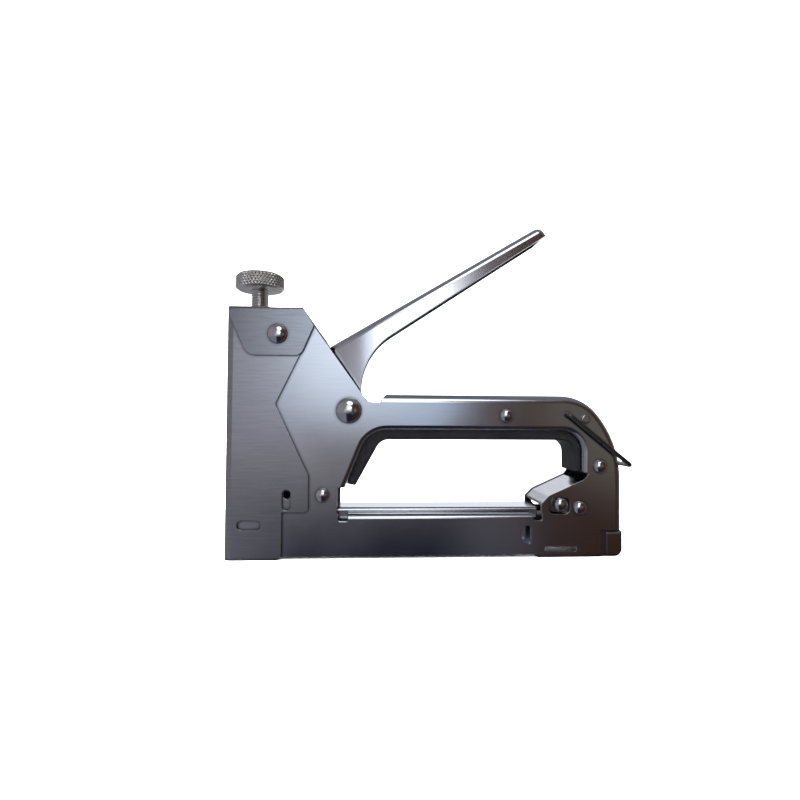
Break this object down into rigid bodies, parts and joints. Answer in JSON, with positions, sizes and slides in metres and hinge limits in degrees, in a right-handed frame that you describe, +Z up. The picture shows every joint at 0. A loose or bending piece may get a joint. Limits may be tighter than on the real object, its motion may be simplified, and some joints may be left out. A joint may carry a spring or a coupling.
{
  "type": "staple gun",
  "caption": "Hand staple gun of folded plated steel with a squeeze lever, a screw that sets the drive spring, a rear-loading staple magazine and a lined finger opening.",
  "frame": {"origin": "middle of the lower edge of the nose's front wall, where the staples leave", "axes": "+X from the nose to the rear, +Z up from the work surface, Y across the gun"},
  "size_m": [0.1768, 0.0336, 0.148],
  "materials": {
    "shell_chrome": "satin plated sheet",
    "housing_chrome": "satin plated sheet",
    "cap_chrome": "satin plated sheet",
    "lever_chrome": "bright plated sheet",
    "channel_chrome": "bright plated sheet",
    "end_chrome": "satin plated",
    "latch_chrome": "bright plated sheet",
    "rivet_chrome": "polished",
    "knob_nickel": "nickel plated",
    "insert_plastic": "fine matt grain",
    "bumper_rubber": "dull",
    "inner_steel": "plain",
    "hard_steel": "hardened, ground",
    "spring_steel": "drawn wire",
    "bail_steel": "dark drawn wire"
  },
  "bodies": {
    "gun_body": {"left_shell": "shell_chrome", "right_shell": "shell_chrome", "front_housing": "housing_chrome", "top_cap": "cap_chrome", "grip_insert": "insert_plastic", "pivot_rivet": "rivet_chrome", "cap_rivet": "rivet_chrome", "front_rivet": "rivet_chrome", "handle_rivet": "rivet_chrome", "rear_rivet": "rivet_chrome", "latch_rivet": "rivet_chrome", "cap_spacer": "inner_steel", "front_spacer": "inner_steel", "handle_spacer": "inner_steel", "rear_spacer": "inner_steel", "left_bush": "inner_steel", "right_bush": "inner_steel", "tension_nut": "inner_steel", "bumper": "bumper_rubber", "magazine_channel": "channel_chrome", "latch_spring": "spring_steel"},
    "squeeze_lever": {"lever": "lever_chrome", "lever_claw": "hard_steel", "claw_rivets": "inner_steel", "lever_spring": "spring_steel"},
    "striker": {"striker_blade": "hard_steel", "striker_block": "inner_steel", "drive_spring": "spring_steel"},
    "spring_stop": {"spring_seat": "inner_steel"},
    "screw": {"tension_screw": "knob_nickel"},
    "magazine_rail": {"staple_rail": "inner_steel", "magazine_end": "end_chrome", "pusher_rod": "spring_steel"},
    "staple_pusher": {"pusher": "inner_steel", "pusher_spring": "spring_steel"},
    "latch": {"release_latch": "latch_chrome", "latch_pin": "rivet_chrome"},
    "bail": {"wire_bail": "bail_steel"}
  },
  "joints": [
    {"name": "lever_squeeze", "type": "hinge", "parent": "gun_body", "child": "squeeze_lever", "pos_m": [0.05185, 0, 0.0636], "axis": [0, 1, 0], "range_deg": [0, 32], "stiffness_Nm_per_rad": 2, "springref_deg": -22.92},
    {"name": "striker_lift", "type": "slide", "parent": "gun_body", "child": "striker", "axis": [0, 0, 1], "range_m": [0, 0.0206], "deforming": ["drive_spring"]},
    {"name": "tension_advance", "type": "slide", "parent": "gun_body", "child": "spring_stop", "axis": [0, 0, -1], "range_m": [0, 0.005]},
    {"name": "tension_turn", "type": "hinge", "parent": "spring_stop", "child": "screw", "pos_m": [0.01065, 0, 0.12], "axis": [0, 0, -1], "range_deg": [0, 1450]},
    {"name": "magazine_slide", "type": "slide", "parent": "gun_body", "child": "magazine_rail", "axis": [1, 0, 0], "range_m": [0, 0.11]},
    {"name": "pusher_slide", "type": "slide", "parent": "magazine_rail", "child": "staple_pusher", "axis": [1, 0, 0], "range_m": [0, 0.1], "stiffness_N_per_m": 40, "springref_m": -0.06, "deforming": ["pusher_spring"]},
    {"name": "latch_press", "type": "hinge", "parent": "gun_body", "child": "latch", "pos_m": [0.15355, 0, 0.0215], "axis": [0, 1, 0], "range_deg": [-8, 0], "stiffness_Nm_per_rad": 0.3, "springref_deg": 17.19},
    {"name": "bail_swing", "type": "hinge", "parent": "gun_body", "child": "bail", "pos_m": [0.14805, 0, 0.0625], "axis": [0, 1, 0], "range_deg": [-80, 0]}
  ],
  "couplings": [
    {"joint": "striker_lift", "follows": "lever_squeeze", "m_per_rad": 0.03653},
    {"joint": "tension_turn", "follows": "tension_advance", "rad_per_m": 5026.5}
  ]
}
